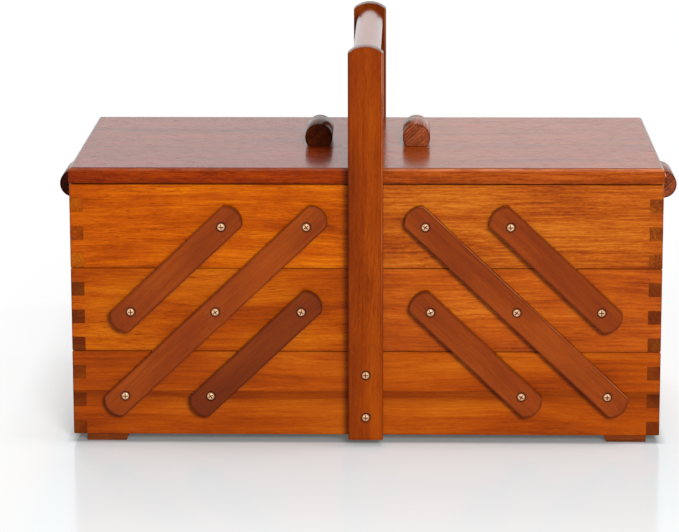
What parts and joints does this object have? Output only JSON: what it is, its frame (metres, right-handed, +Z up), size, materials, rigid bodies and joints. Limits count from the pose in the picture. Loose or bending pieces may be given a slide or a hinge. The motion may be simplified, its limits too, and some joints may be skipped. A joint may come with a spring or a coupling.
{
  "type": "sewing box",
  "caption": "Tiered wooden sewing box whose trays swing out on parallel arms to both sides of a fixed carrying handle, with a hinged lid on each half.",
  "frame": {"origin": "on the ground, under the middle of the box, midway between front and back", "axes": "+X to the right along the width, +Y from front to back, +Z up"},
  "size_m": [0.475, 0.266, 0.301],
  "materials": {
    "wall_wood": "satin lacquer over orange-brown stained wood, grain along the board",
    "end_wood": "satin lacquer over orange-brown stained wood, dark end grain on the fingers",
    "lid_wood": "glossy lacquer over red-brown stained wood",
    "arm_wood": "satin lacquer over red-brown stained wood",
    "handle_wood": "glossy lacquer over red-brown stained wood",
    "knob_wood": "glossy lacquer over dark red-brown stained wood",
    "plywood": "pale plywood, thin matt lacquer",
    "brass": "polished brass"
  },
  "bodies": {
    "base": {"base_front": "wall_wood", "base_back": "wall_wood", "base_left_end": "end_wood", "base_right_end": "end_wood", "base_floor": "plywood", "feet": "handle_wood", "handle_front_upright": "handle_wood", "handle_back_upright": "handle_wood", "handle_grip": "handle_wood", "base_screws": "brass"},
    "left_long_arms": {"left_front_long_arm": "arm_wood", "left_back_long_arm": "arm_wood"},
    "left_lower_arms": {"left_front_lower_arm": "arm_wood", "left_back_lower_arm": "arm_wood"},
    "left_upper_arms": {"left_front_upper_arm": "arm_wood", "left_back_upper_arm": "arm_wood"},
    "left_mid_tray": {"left_mid_front": "wall_wood", "left_mid_back": "wall_wood", "left_mid_outer_end": "end_wood", "left_mid_inner_end": "end_wood", "left_mid_floor": "plywood", "left_mid_screws": "brass"},
    "left_top_tray": {"left_top_front": "wall_wood", "left_top_back": "wall_wood", "left_top_outer_end": "end_wood", "left_top_inner_end": "end_wood", "left_top_floor": "plywood", "left_top_dividers": "plywood", "left_top_screws": "brass", "left_side_pull": "knob_wood", "left_tray_hinges": "brass"},
    "left_lid_body": {"left_lid": "lid_wood", "left_knob": "knob_wood", "left_lid_hinges": "brass", "left_lid_screws": "brass"},
    "right_long_arms": {"right_front_long_arm": "arm_wood", "right_back_long_arm": "arm_wood"},
    "right_lower_arms": {"right_front_lower_arm": "arm_wood", "right_back_lower_arm": "arm_wood"},
    "right_upper_arms": {"right_front_upper_arm": "arm_wood", "right_back_upper_arm": "arm_wood"},
    "right_mid_tray": {"right_mid_front": "wall_wood", "right_mid_back": "wall_wood", "right_mid_outer_end": "end_wood", "right_mid_inner_end": "end_wood", "right_mid_floor": "plywood", "right_mid_screws": "brass"},
    "right_top_tray": {"right_top_front": "wall_wood", "right_top_back": "wall_wood", "right_top_outer_end": "end_wood", "right_top_inner_end": "end_wood", "right_top_floor": "plywood", "right_top_dividers": "plywood", "right_top_screws": "brass", "right_side_pull": "knob_wood", "right_tray_hinges": "brass"},
    "right_lid_body": {"right_lid": "lid_wood", "right_knob": "knob_wood", "right_lid_hinges": "brass", "right_lid_screws": "brass"}
  },
  "joints": [
    {"name": "left_open", "type": "hinge", "parent": "base", "child": "left_long_arms", "pos_m": [-0.18, 0, 0.0368], "axis": [0, -1, 0], "range_deg": [0, 93]},
    {"name": "left_mid_tray_level", "type": "hinge", "parent": "left_long_arms", "child": "left_mid_tray", "pos_m": [-0.112, 0, 0.1013], "axis": [0, -1, 0], "range_deg": [-93, 0]},
    {"name": "left_top_tray_level", "type": "hinge", "parent": "left_long_arms", "child": "left_top_tray", "pos_m": [-0.044, 0, 0.1658], "axis": [0, -1, 0], "range_deg": [-93, 0]},
    {"name": "left_lower_arm_swing", "type": "hinge", "parent": "base", "child": "left_lower_arms", "pos_m": [-0.116, 0, 0.0368], "axis": [0, -1, 0], "range_deg": [0, 93]},
    {"name": "left_upper_arm_swing", "type": "hinge", "parent": "left_mid_tray", "child": "left_upper_arms", "pos_m": [-0.175, 0, 0.1013], "axis": [0, -1, 0], "range_deg": [0, 93]},
    {"name": "left_lid_lift", "type": "hinge", "parent": "left_top_tray", "child": "left_lid_body", "pos_m": [-0.2226, 0, 0.1966], "axis": [0, -1, 0], "range_deg": [0, 110]},
    {"name": "right_open", "type": "hinge", "parent": "base", "child": "right_long_arms", "pos_m": [0.18, 0, 0.0368], "axis": [0, 1, 0], "range_deg": [0, 93]},
    {"name": "right_mid_tray_level", "type": "hinge", "parent": "right_long_arms", "child": "right_mid_tray", "pos_m": [0.112, 0, 0.1013], "axis": [0, 1, 0], "range_deg": [-93, 0]},
    {"name": "right_top_tray_level", "type": "hinge", "parent": "right_long_arms", "child": "right_top_tray", "pos_m": [0.044, 0, 0.1658], "axis": [0, 1, 0], "range_deg": [-93, 0]},
    {"name": "right_lower_arm_swing", "type": "hinge", "parent": "base", "child": "right_lower_arms", "pos_m": [0.116, 0, 0.0368], "axis": [0, 1, 0], "range_deg": [0, 93]},
    {"name": "right_upper_arm_swing", "type": "hinge", "parent": "right_mid_tray", "child": "right_upper_arms", "pos_m": [0.175, 0, 0.1013], "axis": [0, 1, 0], "range_deg": [0, 93]},
    {"name": "right_lid_lift", "type": "hinge", "parent": "right_top_tray", "child": "right_lid_body", "pos_m": [0.2226, 0, 0.1966], "axis": [0, 1, 0], "range_deg": [0, 110]}
  ],
  "couplings": [
    {"joint": "left_mid_tray_level", "follows": "left_open", "ratio": -1},
    {"joint": "left_top_tray_level", "follows": "left_open", "ratio": -1},
    {"joint": "left_lower_arm_swing", "follows": "left_open", "ratio": 1},
    {"joint": "left_upper_arm_swing", "follows": "left_open", "ratio": 1},
    {"joint": "right_mid_tray_level", "follows": "right_open", "ratio": -1},
    {"joint": "right_top_tray_level", "follows": "right_open", "ratio": -1},
    {"joint": "right_lower_arm_swing", "follows": "right_open", "ratio": 1},
    {"joint": "right_upper_arm_swing", "follows": "right_open", "ratio": 1}
  ]
}
